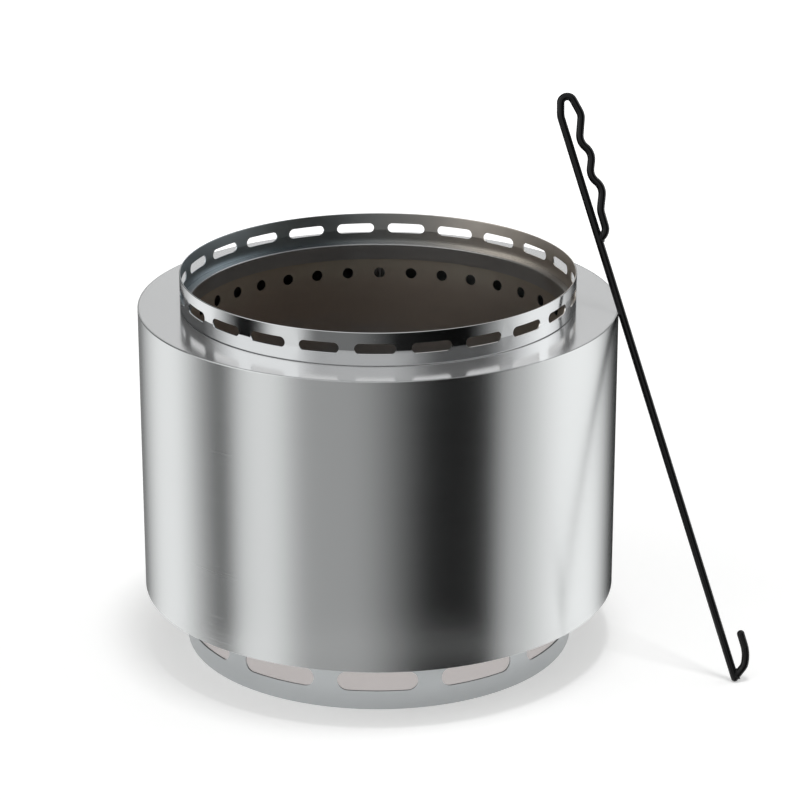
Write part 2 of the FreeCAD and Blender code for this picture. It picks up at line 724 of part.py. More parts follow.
def flame_collar():
    """The slotted band that stands on the deck round the fire."""
    body = new_body("flame_collar")
    top = f"({COLLAR_FOOT} + collar_height)"
    ring(body, "collar_band", [
        (COLLAR_INNER, COLLAR_FOOT), (COLLAR_OUTER, COLLAR_FOOT), (COLLAR_OUTER, top), (COLLAR_INNER, top)])
    round_rims(body, "collar_rims", "collar_round", [(COLLAR_OUTER, top), (COLLAR_INNER, top)])
    wall_slots(body, "collar_slots", "collar_slot_length", "collar_slot_height",
               f"{COLLAR_FOOT} + collar_slot_middle", COLLAR_INNER, COLLAR_OUTER, "collar_slot_count")
    turn(body, "collar_turn_angle")


def seat_ring():
    """The ring inside the collar that rests on the deck and drops into its opening."""
    body = new_body("seat_ring")
    flange_outer = f"({COLLAR_INNER} - sheet_fit)"
    top = f"({COLLAR_FOOT} + seat_wall)"
    ring(body, "seat_sheet", [
        (SEAT_INNER, f"{DECK_TOP} - seat_depth"), (SEAT_OUTER, f"{DECK_TOP} - seat_depth"),
        (SEAT_OUTER, COLLAR_FOOT), (flange_outer, COLLAR_FOOT), (flange_outer, top), (SEAT_INNER, top)])
    round_rims(body, "seat_bend", "deck_round", [(SEAT_INNER, top)])


def ash_pan():
    """The pan that catches the ash, with a rim turned out and a row of air holes.

    The first air hole is at the front, so an even count that four doesn't divide keeps them off the ears.
    """
    body = new_body("ash_pan")
    ring(body, "pan_sheet", [
        ("0", PAN_UNDER), (PAN_OUTER, PAN_UNDER), (PAN_OUTER, f"{PAN_RIM} - pan_wall"),
        (PAN_RIM_OUTER, f"{PAN_RIM} - pan_wall"), (PAN_RIM_OUTER, PAN_RIM), (PAN_INNER, PAN_RIM),
        (PAN_INNER, PAN_FLOOR), ("0", PAN_FLOOR)])
    round_rims(body, "pan_outer_bend", "pan_round", [(PAN_OUTER, PAN_UNDER)])
    round_rims(body, "pan_inner_bend", "pan_round - pan_wall", [(PAN_INNER, PAN_FLOOR), (PAN_INNER, PAN_RIM)])
    wall_holes(body, "pan_holes", "pan_hole_radius", f"{PAN_UNDER} + pan_hole_rise", PAN_INNER,
               PAN_OUTER, "pan_hole_count")
    for name, level in EAR_RIVET_LEVELS.items():
        sketch = new_sketch(body, f"{name}_outline", "YZ_Plane")
        circle(sketch, "0", level, "rivet_radius + hole_fit")
        hole = feature(body, "Pocket", f"{name}_hole", sketch)
        hole.SideType = "Symmetric"
        bind(hole, "Length", f"2 * ({PAN_OUTER} + cut_overrun)")
        DOC.recompute()


def bail_ears():
    """The two straps in the ash pan that hold the bail's ends."""
    body = new_body("bail_ears")
    sketch = new_sketch(body, "ear_outline", "YZ_Plane", EAR_INNER)
    obround(sketch, ("0", EAR_RIVET_LOW), ("0", BAIL_LEVEL), "ear_width / 2")
    circle(sketch, "0", BAIL_LEVEL, "bail_wire_radius + bail_pin_fit")
    for level in EAR_RIVET_LEVELS.values():
        circle(sketch, "0", level, "rivet_radius + hole_fit")
    ear = feature(body, "Pad", "ear", sketch)
    bind(ear, "Length", "ear_wall")
    DOC.recompute()
    pattern(body, "ear_pair", [ear], "ear_count")


def ear_rivets():
    """The rivets that hold the ears to the ash pan."""
    body = new_body("ear_rivets")
    pair = [rivet(body, name, EAR_INNER, PAN_OUTER, None, level) for name, level in EAR_RIVET_LEVELS.items()]
    pattern(body, "ear_rivet_pair", pair, "ear_count")


def pan_bail():
    """The wire bail: half a circle whose ends turn in through the ears and are headed there."""
    body = new_body("pan_bail")
    path = new_sketch(body, "bail_path", "XY_Plane")
    pin_end = f"({EAR_INNER} - bail_end_play)"
    bend_at = f"({BAIL_BOW} - bail_bend)"
    radius, bend = size_of(BAIL_BOW), size_of("bail_bend")
    right_pin = path.addGeometry(Part.LineSegment(spot(pin_end, "0"), spot(bend_at, "0")), False)
    right_bend = add_arc(path, spot(bend_at, "bail_bend"), bend, -math.pi / 2, 0)
    bow = add_arc(path, spot("0", "bail_bend"), radius, 0, math.pi)
    left_bend = add_arc(path, spot(f"-{bend_at}", "bail_bend"), bend, math.pi, 1.5 * math.pi)
    left_pin = path.addGeometry(Part.LineSegment(spot(f"-{bend_at}", "0"), spot(f"-{pin_end}", "0")), False)
    join(path, "Tangent", right_pin, END, right_bend, START)
    join(path, "Tangent", right_bend, END, bow, START)
    join(path, "Tangent", bow, END, left_bend, START)
    join(path, "Tangent", left_bend, END, left_pin, START)
    pin(path, right_pin, START, pin_end, "0")
    pin(path, left_pin, END, f"-{pin_end}", "0")
    pin(path, bow, CENTRE, "0", "bail_bend")
    drive(path, BAIL_BOW, "Radius", bow)
    drive(path, "bail_bend", "Radius", right_bend)
    drive(path, "bail_bend", "Radius", left_bend)
    section = new_sketch(body, "bail_section", "YZ_Plane", pin_end)
    circle(section, "0", "0", "bail_wire_radius")
    sweep(body, "bail_wire", section, path)
    for side, start in (("right", f"{pin_end} - bail_head_length"), ("left", f"-{pin_end}")):
        head = body.newObject("PartDesign::AdditiveCylinder", f"{side}_head")
        bind(head, "Radius", "bail_head_radius")
        bind(head, "Height", "bail_head_length")
        head.Placement.Rotation = FreeCAD.Rotation(FreeCAD.Vector(0, 1, 0), QUARTER_ANGLE)
        bind(head, "Placement.Base.x", start)
        DOC.recompute()
    body.Placement.Base = FreeCAD.Vector(0, 0, size_of(BAIL_LEVEL))


def sweep(body, name, section, path):
    """Sweep a section along a path."""
    item = feature(body, "AdditivePipe", name, section)
    item.Spine = (path, [])
    item.Transition = "Transformed"
    DOC.recompute()
    return item


def fire_grate():
    """The slotted grate, with a hole in the middle that the poker's hook fits through."""
    body = new_body("fire_grate")
    top = f"({GRATE_UNDER} + grate_wall)"
    ring(body, "grate_disc", [
        ("grate_hole_radius", GRATE_UNDER), (GRATE_OUTER, GRATE_UNDER), (GRATE_OUTER, top),
        ("grate_hole_radius", top)])
    round_rims(body, "grate_rims", "grate_round", [(GRATE_OUTER, top), ("grate_hole_radius", top)])
    rows = {"inner_slot": (INNER_SLOT_START, INNER_SLOT_END), "outer_slot": (OUTER_SLOT_START, OUTER_SLOT_END)}
    for row, (start, end) in rows.items():
        sketch = new_sketch(body, f"{row}_outline", "XY_Plane")
        half = "grate_slot_width / 2"
        obround(sketch, (f"{start} + {half}", "0"), (f"{end} - {half}", "0"), half)
        slot = cut(body, f"{row}_first", sketch, f"{top} + cut_overrun")
        pattern(body, f"{row}_ring", [slot], f"{row}_count")


def grate_legs():
    """The legs welded under the grate, which stand in the ash pan."""
    body = new_body("grate_legs")
    foot = f"({PAN_FLOOR} + seat_gap)"
    side = f"({LEG_CIRCLE} + leg_radius)"
    leg = turned(body, "leg", [
        (LEG_CIRCLE, foot), (f"{side} - leg_bevel", foot), (side, f"{foot} + leg_bevel"),
        (side, GRATE_UNDER), (LEG_CIRCLE, GRATE_UNDER)])
    pattern(body, "leg_ring", [leg], "leg_count")


def poker_placement():
    """Where the poker leans: its axis clears the rim by the seat gap and its tip stands on the ground.

    The poker's own Z runs up the shaft from the centre of its round tip.
    """
    lean, rest = math.radians(size_of("lean_angle")), math.radians(size_of("rest_angle"))
    heading = math.radians(size_of("lean_heading_angle"))
    across = math.sin(lean)
    up_rod = FreeCAD.Vector(across * math.cos(heading), across * math.sin(heading), math.cos(lean))
    rim_point = FreeCAD.Vector(math.sin(rest), -math.cos(rest), 0) * size_of("outer_radius")
    rim_point.z = size_of(DECK_TOP)
    rim_tangent = FreeCAD.Vector(math.cos(rest), math.sin(rest), 0)
    away = rim_tangent.cross(up_rod).normalize()
    if away.z < 0:
        away = -away
    touch = rim_point + away * size_of("rod_radius + seat_gap")
    tip = touch - up_rod * ((touch.z - size_of("rod_radius")) / up_rod.z)
    upright, sideways = FreeCAD.Vector(0, 0, 1), FreeCAD.Vector(0, 1, 0)
    turned_rod = FreeCAD.Rotation(upright, size_of("lean_heading_angle"))
    turned_rod = turned_rod.multiply(FreeCAD.Rotation(sideways, size_of("lean_angle")))
    turned_rod = turned_rod.multiply(FreeCAD.Rotation(upright, size_of("handle_turn_angle")))
    return FreeCAD.Placement(tip, turned_rod)


def rod_section(body, name, path):
    """The rod's round section, square to the start of a path."""
    sketch = body.newObject("Sketcher::SketchObject", name)
    sketch.AttachmentSupport = [(path, "Edge1")]
    sketch.MapMode = "NormalToEdge"
    circle(sketch, "0", "0", "rod_radius")
    return sketch


def poker_shaft():
    """The poker's rod: a round tip, a straight shaft and a wavy handle loop welded back to it."""
    body = new_body("poker_shaft")
    shaft = body.newObject("PartDesign::AdditiveCylinder", "shaft")
    bind(shaft, "Radius", "rod_radius")
    bind(shaft, "Height", SHAFT_TOP)
    tip = body.newObject("PartDesign::AdditiveSphere", "tip")
    bind(tip, "Radius", "rod_radius")
    DOC.recompute()
    path = new_sketch(body, "handle_path", "XZ_Plane")
    corners = [(f"{across} * handle_width", f"handle_start + {along} * handle_length", bend)
               for along, across, bend in HANDLE_CORNER_SHARES]
    along, across = HANDLE_END_SHARES
    end = (f"{across} * handle_width", f"handle_start + {along} * handle_length")
    bent_path(path, ("0", SHAFT_TOP), corners, end)
    DOC.recompute()
    section = rod_section(body, "handle_section", path)
    sweep(body, "handle", section, path)
    body.Placement = poker_placement()


def poker_hook():
    """The short rod welded to the tip and bent up into a hook."""
    body = new_body("poker_hook")
    path = new_sketch(body, "hook_path", "XZ_Plane")
    corners = [(f"{across} * hook_reach", f"{along} * hook_height", bend)
               for along, across, bend in HOOK_CORNER_SHARES]
    bent_path(path, ("0", "0"), corners, ("hook_reach", "hook_height"))
    DOC.recompute()
    section = rod_section(body, "hook_section", path)
    hook = sweep(body, "hook", section, path)
    end = FreeCAD.Vector(size_of("hook_reach"), 0, size_of("hook_height"))
    names = [f"Edge{number}" for number, edge in enumerate(hook.Shape.Edges, 1)
             if isinstance(edge.Curve, Part.Circle) and edge.Curve.Center.distanceToPoint(end) < EDGE_TOLERANCE]
    rounding = body.newObject("PartDesign::Fillet", "hook_end")
    rounding.Base = (hook, names)
    bind(rounding, "Radius", "rod_radius - rod_end_flat")
    DOC.recompute()
    for kind, name in (("SubtractiveSphere", "tip_weld"), ("SubtractiveCylinder", "shaft_weld")):
        weld = body.newObject(f"PartDesign::{kind}", name)
        bind(weld, "Radius", "rod_radius + weld_gap")
        if kind == "SubtractiveCylinder":
            bind(weld, "Height", "hook_height")
        DOC.recompute()
    body.Placement = poker_placement()


def check_document():
    """Stop if an object of the document failed or a sub-part's shape isn't sound."""
    for item in DOC.Objects:
        if "Invalid" in item.State or "Error" in item.State:
            raise RuntimeError(f"{item.Name} failed: {item.State}")
    for body in DOC.findObjects("PartDesign::Body"):
        if body.Shape.isNull() or not body.Shape.isValid():
            raise RuntimeError(f"{body.Label} has no sound shape")


def write_parts():
    """Write each sub-part to its own file and print what it measures."""
    os.makedirs("parts", exist_ok=True)
    for body in DOC.findObjects("PartDesign::Body"):
        shape = body.Shape
        shape.exportStep(f"parts/{body.Label}.step")
        box = shape.optimalBoundingBox(False)
        print(f"{body.Label}: {len(shape.Solids)} solid, {shape.Volume:.1f} mm3, "
              f"x {box.XMin:.2f} {box.XMax:.2f}, y {box.YMin:.2f} {box.YMax:.2f}, "
              f"z {box.ZMin:.2f} {box.ZMax:.2f}")


def main():
    """Build every sub-part, from the ground up, and write them."""
    fill_sheet()
    base_ring()
    outer_shell()
    top_deck()
    bottom_plate()
    inner_wall()
    chamber_floor()
    floor_rivets()
    stand_tabs()
    tab_rivets()
    socket_screws("chamber_bolts", "bolt", BOLT_CIRCLE, HEM_TOP, f"({WASHER_TOP} + bolt_nut_height)")
    chamber_washers()
    hexagon_nuts("chamber_nuts", "bolt", BOLT_CIRCLE, WASHER_TOP)
    socket_screws("rim_screws", "screw", SCREW_CIRCLE, "foot_height", f"({PLATE_TOP} + screw_nut_height)")
    hexagon_nuts("rim_nuts", "screw", SCREW_CIRCLE, PLATE_TOP)
    flame_collar()
    seat_ring()
    ash_pan()
    bail_ears()
    ear_rivets()
    pan_bail()
    fire_grate()
    grate_legs()
    poker_shaft()
    poker_hook()
    DOC.recompute()
    check_document()
    write_parts()


main()
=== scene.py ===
"""Blender scene of a smokeless fire pit: its finishes and weld beads, the studio and the camera.

Lengths are in metres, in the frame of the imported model: +Z up the drum's axis, -Y to the front and
+X to the right, where the poker leans.
"""

import json
import logging
import math
from dataclasses import dataclass
from enum import Enum
from typing import Any, Mapping, Optional, Sequence, Union

import bmesh
import bpy
from mathutils import Matrix, Vector

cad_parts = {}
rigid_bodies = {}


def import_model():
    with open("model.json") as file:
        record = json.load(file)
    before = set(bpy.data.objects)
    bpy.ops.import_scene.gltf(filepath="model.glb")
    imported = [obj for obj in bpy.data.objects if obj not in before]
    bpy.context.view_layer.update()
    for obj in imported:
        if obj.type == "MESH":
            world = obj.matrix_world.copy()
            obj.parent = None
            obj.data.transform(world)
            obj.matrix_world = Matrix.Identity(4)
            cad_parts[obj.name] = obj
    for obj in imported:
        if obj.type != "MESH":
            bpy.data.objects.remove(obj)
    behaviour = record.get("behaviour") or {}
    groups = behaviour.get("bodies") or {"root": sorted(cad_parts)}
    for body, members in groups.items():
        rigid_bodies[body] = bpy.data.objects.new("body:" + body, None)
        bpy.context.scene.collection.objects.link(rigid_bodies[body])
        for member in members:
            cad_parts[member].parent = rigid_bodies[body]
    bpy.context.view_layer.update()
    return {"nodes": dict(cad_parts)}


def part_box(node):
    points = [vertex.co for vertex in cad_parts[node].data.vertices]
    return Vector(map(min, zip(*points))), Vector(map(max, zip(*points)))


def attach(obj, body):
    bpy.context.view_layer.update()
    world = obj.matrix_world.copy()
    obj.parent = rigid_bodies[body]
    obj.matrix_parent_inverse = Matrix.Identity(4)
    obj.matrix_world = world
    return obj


LOG = logging.getLogger("fire_pit")

Colour = tuple[float, float, float]
Triple = tuple[float, float, float]
Span = tuple[float, float]
Scratches = tuple[float, float, Triple]
Number = Union[float, "Signal"]
Settings = Mapping[str, Any]
Sockets = Mapping[Union[str, int], Any]

# Values that the finishes share

NOISE_MIDDLE = 0.5
SCRATCH_LEVELS: Span = (0.68, 0.76)
STRETCH_TURN = 0.25
ROLL_DEPTH = 0.6
WHOLE_PIECE = 0.3
BLACK: Colour = (0.0, 0.0, 0.0)
WHITE: Colour = (1.0, 1.0, 1.0)

# The places of a colour mix's sockets, whose names its other kinds of mix use too

MIX_SHARE, MIX_FIRST, MIX_SECOND, MIX_RESULT = 0, 6, 7, 2


# Node trees


class Signal:
    """A number that varies over a surface, with arithmetic that adds its own Math nodes."""

    def __init__(self, recipe: "Recipe", socket: bpy.types.NodeSocket) -> None:
        """Wrap an output socket.

        Args:
            recipe: The node tree that the socket belongs to.
            socket: The output that carries the number.
        """
        self.recipe = recipe
        self.socket = socket

    def math(self, operation: str, *terms: Number) -> "Signal":
        """Run a Math node whose first input is this signal.

        Args:
            operation: The Math node's operation.
            terms: Its other inputs in order.

        Returns:
            The node's result.
        """
        inputs = dict(enumerate((self, *terms)))
        return self.recipe.signal("ShaderNodeMath", {"operation": operation}, inputs)

    def reflected(self, operation: str, first: float) -> "Signal":
        """Run a Math node on a number and this signal, in that order."""
        return self.recipe.signal("ShaderNodeMath", {"operation": operation}, {0: first, 1: self})

    def __add__(self, other: Number) -> "Signal":
        """The sum with a number or a signal."""
        return self.math("ADD", other)

    __radd__ = __add__

    def __sub__(self, other: Number) -> "Signal":
        """This signal less another."""
        return self.math("SUBTRACT", other)

    def __rsub__(self, other: float) -> "Signal":
        """A number less this signal."""
        return self.reflected("SUBTRACT", other)

    def __mul__(self, other: Number) -> "Signal":
        """The product with a number or a signal."""
        return self.math("MULTIPLY", other)

    __rmul__ = __mul__

    def __truediv__(self, other: Number) -> "Signal":
        """This signal over another."""
        return self.math("DIVIDE", other)

    def __rtruediv__(self, other: float) -> "Signal":
        """A number over this signal."""
        return self.reflected("DIVIDE", other)

    def __abs__(self) -> "Signal":
        """The size of the signal, without its sign."""
        return self.math("ABSOLUTE")

    def rise(self, start: float, end: float) -> "Signal":
        """A smooth step from 0 at the start to 1 at the end.

        Args:
            start: The signal's value where the step leaves 0.
            end: The value where it reaches 1, larger than the start.

        Returns:
            The step, from 0 to 1.
        """
        sockets = {"Value": self, "From Min": start, "From Max": end}
        settings = {"interpolation_type": "SMOOTHSTEP"}
        return self.recipe.signal("ShaderNodeMapRange", settings, sockets)

    def ramp(self, start: float, end: float) -> "Signal":
        """A straight rise from 0 at the start to 1 at the end, which may be the smaller one."""
        sockets = {"Value": self, "From Min": start, "From Max": end}
        return self.recipe.signal("ShaderNodeMapRange", {}, sockets)

    def band(self, start: float, full: float, fade: float, end: float) -> "Signal":
        """A smooth hill that is 1 between full and fade, and 0 outside start and end."""
        return self.rise(start, full) * (1 - self.rise(fade, end))


class Detail(Enum):
    """The look of a noise, as the number of finer layers that it has."""

    STREAKED = 1.0
    SOFT = 2.0
    CLOUDY = 3.0
    RAGGED = 4.0
    DUSTY = 5.0


class Recipe:
    """The node tree of one material or of the world, and short ways to fill it."""

    def __init__(self, tree: bpy.types.NodeTree) -> None:
        """Empty the tree.

        Args:
            tree: The tree of a material or of the world.
        """
        self.tree = tree
        tree.nodes.clear()

    def node(self, kind: str, settings: Optional[Settings] = None,
             sockets: Optional[Sockets] = None) -> bpy.types.Node:
        """Add a node.

        Args:
            kind: The node's type.
            settings: Its properties, which are set first.
            sockets: A value, a signal or an output for each input, by name or place.

        Returns:
            The node.
        """
        made = self.tree.nodes.new(kind)
        for name, value in (settings or {}).items():
            setattr(made, name, value)
        for key, value in (sockets or {}).items():
            self.feed(made.inputs[key], value)
        return made

    def feed(self, into: bpy.types.NodeSocket, value: Any) -> None:
        """Link a signal or an output to an input, or set the input's own value.

        Args:
            into: The input.
            value: A signal, an output, a number, a vector or a colour without alpha.
        """
        if isinstance(value, Signal):
            value = value.socket
        if isinstance(value, bpy.types.NodeSocket):
            self.tree.links.new(value, into)
        elif isinstance(value, tuple) and into.type == "RGBA":
            into.default_value = (*value, 1.0)
        else:
            into.default_value = value

    def signal(self, kind: str, settings: Optional[Settings] = None,
               sockets: Optional[Sockets] = None, output: Union[str, int] = 0) -> Signal:
        """Add a node and take one of its outputs as a signal.

        Args:
            kind: The node's type.
            settings: Its properties.
            sockets: Its inputs.
            output: The output's name or place.

        Returns:
            The output.
        """
        return Signal(self, self.node(kind, settings, sockets).outputs[output])

    def place(self) -> bpy.types.NodeSocket:
        """The point on the object, in metres."""
        return self.node("ShaderNodeTexCoord").outputs["Object"]

    def split(self, vector: bpy.types.NodeSocket) -> tuple[Signal, Signal, Signal]:
        """The three numbers of a vector."""
        parts = self.node("ShaderNodeSeparateXYZ", sockets={0: vector}).outputs
        return Signal(self, parts[0]), Signal(self, parts[1]), Signal(self, parts[2])

    def reach(self) -> Signal:
        """How far the point is from the drum's axis."""
        across, depth, _ = self.split(self.place())
        return (across * across + depth * depth).math("SQRT")

    def noise(self, size: Triple, detail: Detail = Detail.CLOUDY, turn: Triple = (0.0, 0.0, 0.0),
              rough: float = 0.5) -> Signal:
        """Cloudy noise.

        Args:
            size: How long its spots are along each axis.
            detail: How many finer layers it has.
            turn: Turns of the axes, in degrees.
            rough: How strong the finer layers are.

        Returns:
            The noise, from 0 to 1 and mostly near a half.
        """
        turned = tuple(math.radians(angle) for angle in turn)
        laid = self.node("ShaderNodeMapping", {"vector_type": "TEXTURE"},
                         {"Vector": self.place(), "Rotation": turned, "Scale": size})
        return self.signal("ShaderNodeTexNoise", {}, {
            "Vector": laid.outputs[0], "Scale": 1.0, "Detail": detail.value, "Roughness": rough})

    def scratches(self, length: float, width: float, turn: Triple) -> Signal:
        """Sparse fine lines in one direction, from 0 to 1."""
        return self.noise((length, width, width), Detail.STREAKED, turn).rise(*SCRATCH_LEVELS)

    def mix(self, share: Number, first: Any, second: Any) -> bpy.types.NodeSocket:
        """A colour between two others.

        Args:
            share: How much of the second colour there is.
            first: A colour or an output.
            second: A colour or an output.

        Returns:
            The output with the mixed colour.
        """
        sockets = {MIX_SHARE: share, MIX_FIRST: first, MIX_SECOND: second}
        return self.node("ShaderNodeMix", {"data_type": "RGBA"}, sockets).outputs[MIX_RESULT]

    def bump(self, height: Signal) -> bpy.types.NodeSocket:
        """The normal of a surface that stands this many metres proud."""
        sockets = {"Strength": 1.0, "Distance": 1.0, "Height": height}
        return self.node("ShaderNodeBump", {}, sockets).outputs[0]

    def surface(self, **sockets: Any) -> None:
        """Add the surface shader and the output.

        Args:
            sockets: The shader's inputs, with underscores for the spaces in their names.
        """
        named = {name.replace("_", " "): value for name, value in sockets.items()}
        shader = self.node("ShaderNodeBsdfPrincipled", {}, named)
        self.node("ShaderNodeOutputMaterial", {}, {"Surface": shader.outputs[0]})


def shade(colour: Colour, factor: float) -> Colour:
    """A colour made darker or lighter by a factor."""
    return (colour[0] * factor, colour[1] * factor, colour[2] * factor)


def even(size: float) -> Triple:
    """The same length along every axis."""
    return (size, size, size)


# Finishes


class Grain(Enum):
    """The way that rolling or brushing marks run, as the length of a mark along each axis."""

    ROUND = (0.35, 0.35, 0.0011)
    ACROSS = (0.30, 0.0012, 0.30)
    CLOUDY = (0.004, 0.004, 0.004)


@dataclass(frozen=True)
class Edge:
    """A level edge of a round sheet that is rolled over, or a stretch of it that leans in.

    The surface falls away from the start to the end by the depth, straight or ever steeper.
    """

    start: float
    end: float
    depth: float
    rolled: bool = True

    def relief(self, level: Signal) -> Signal:
        """How far the surface stands back, as a height below zero."""
        way = level.ramp(self.start, self.end)
        return (way * way if self.rolled else way) * -self.depth


@dataclass(frozen=True)
class Finish:
    """A surface finish with its own material."""

    name: str

    def material(self) -> bpy.types.Material:
        """The finish's material, made the first time it is asked for.

        Returns:
            The material.
        """
        made = bpy.data.materials.get(self.name)
        if made is None:
            made = bpy.data.materials.new(self.name)
            made.use_nodes = True
            self.paint(Recipe(made.node_tree))
        return made

    def paint(self, recipe: Recipe) -> None:
        """Fill the material's node tree.

        Args:
            recipe: The empty tree.
        """
        raise NotImplementedError


@dataclass(frozen=True)
class SheetSteel(Finish):
    """Bare stainless sheet or rod with a fine grain, faint handling marks and hairline scratches.

    The grain has a depth in metres and makes the colour lighter and darker by its shade. Each
    dulling is how much the roughness changes with its marks, for the grain as a share of the
    roughness. Haze is the share of the surface that doesn't shine as metal.
    """

    colour: Colour = (0.72, 0.72, 0.715)
    roughness: float = 0.2
    grain: Grain = Grain.ROUND
    grain_depth: float = 0.000004
    grain_shade: float = 0.04
    grain_dulling: float = 0.5
    coarse_share: float = 0.6
    coarse_to_fine: float = 3.0
    handling_size: Triple = (0.11, 0.11, 0.09)
    handling_dulling: float = 0.04
    long_scratches: Scratches = (0.05, 0.0007, (12.0, 31.0, 24.0))
    short_scratches: Scratches = (0.04, 0.0006, (70.0, -18.0, -52.0))
    scratch_dulling: float = 0.025
    anisotropy: float = 0.0
    haze: float = 0.0
    edges: tuple[Edge, ...] = ()

    def marks(self, recipe: Recipe) -> Signal:
        """The grain's coarse and fine marks together.

        Args:
            recipe: The material's tree.

        Returns:
            The marks, from 0 to 1.
        """
        length, width, height = self.grain.value
        coarse = recipe.noise((length, width, height), Detail.SOFT)
        fine = recipe.noise((length / self.coarse_to_fine, width / self.coarse_to_fine,
                             height / self.coarse_to_fine), Detail.SOFT)
        return coarse * self.coarse_share + fine * (1 - self.coarse_share)

    def tone(self, recipe: Recipe, marks: Signal) -> bpy.types.NodeSocket:
        """The metal's colour, a little lighter and darker with the grain."""
        low, high = 1 - self.grain_shade, 1 + self.grain_shade
        return recipe.mix(marks, shade(self.colour, low), shade(self.colour, high))

    def dullness(self, recipe: Recipe, marks: Signal) -> Signal:
        """The roughness, with the grain, soft handling marks and scratches in it.

        Args:
            recipe: The material's tree.
            marks: The grain.

        Returns:
            The roughness.
        """
        handling = recipe.noise(self.handling_size) - NOISE_MIDDLE
        cut = recipe.scratches(*self.long_scratches) + recipe.scratches(*self.short_scratches)
        grained = self.roughness + (marks - NOISE_MIDDLE) * (self.roughness * self.grain_dulling)
        return grained + handling * self.handling_dulling + cut * self.scratch_dulling

    def relief(self, recipe: Recipe, marks: Signal) -> Signal:
        """The surface's height: the grain and the edges.

        Args:
            recipe: The material's tree.
            marks: The grain.

        Returns:
            The height, in metres.
        """
        height = marks * self.grain_depth
        if self.edges:
            _, _, level = recipe.split(recipe.place())
            for edge in self.edges:
                height = height + edge.relief(level)
        return height

    def metal(self, recipe: Recipe, colour: bpy.types.NodeSocket, roughness: Signal,
              height: Signal, metallic: Number = 1.0) -> None:
        """Add the surface shader of a metal whose highlights stretch across its grain.

        Args:
            recipe: The material's tree.
            colour: The metal's colour.
            roughness: Its roughness.
            height: The surface's height, in metres.
            metallic: The share of the surface that is bare metal.
        """
        recipe.surface(Base_Color=colour, Metallic=metallic, Roughness=roughness,
                       Anisotropic=self.anisotropy, Anisotropic_Rotation=STRETCH_TURN,
                       Normal=recipe.bump(height))

    def paint(self, recipe: Recipe) -> None:
        """Fill the tree with grained metal.

        Args:
            recipe: The empty tree.
        """
        marks = self.marks(recipe)
        self.metal(recipe, self.tone(recipe, marks), self.dullness(recipe, marks),
                   self.relief(recipe, marks), 1.0 - self.haze)


@dataclass(frozen=True)
class SeamedSheet(SheetSteel):
    """Rolled sheet whose butt weld runs up the back of the drum, planished but still to be seen.

    The seam is full over the core's share of its half width. The weld's heat coloured the sheet as
    far out as tint_reach half widths. The pitch of the ripples is in radians to a metre.
    """

    back: Span = (0.0, 0.02)
    seam_half_width: float = 0.0024
    seam_core: float = 0.3
    seam_height: float = 0.00012
    seam_dulling: float = 0.12
    ripple_pitch: float = 2600.0
    ripple_depth: float = 0.15
    tint: Colour = (0.60, 0.52, 0.42)
    tint_reach: float = 5.0
    tint_share: float = 0.35

    def paint(self, recipe: Recipe) -> None:
        """Fill the tree with grained metal and the seam.

        Args:
            recipe: The empty tree.
        """
        across, depth, level = recipe.split(recipe.place())
        at_back, aside = depth.rise(*self.back), abs(across)
        half_width = self.seam_half_width
        seam = (1 - aside.rise(half_width * self.seam_core, half_width)) * at_back
        warmed = (1 - aside.rise(half_width, half_width * self.tint_reach)) * at_back
        wave = (level * self.ripple_pitch).math("SINE")
        ripple = wave * self.ripple_depth + (1 - self.ripple_depth)
        marks = self.marks(recipe)
        colour = recipe.mix(warmed * self.tint_share, self.tone(recipe, marks), self.tint)
        self.metal(recipe, colour, self.dullness(recipe, marks) + seam * self.seam_dulling,
                   self.relief(recipe, marks) + seam * ripple * self.seam_height)


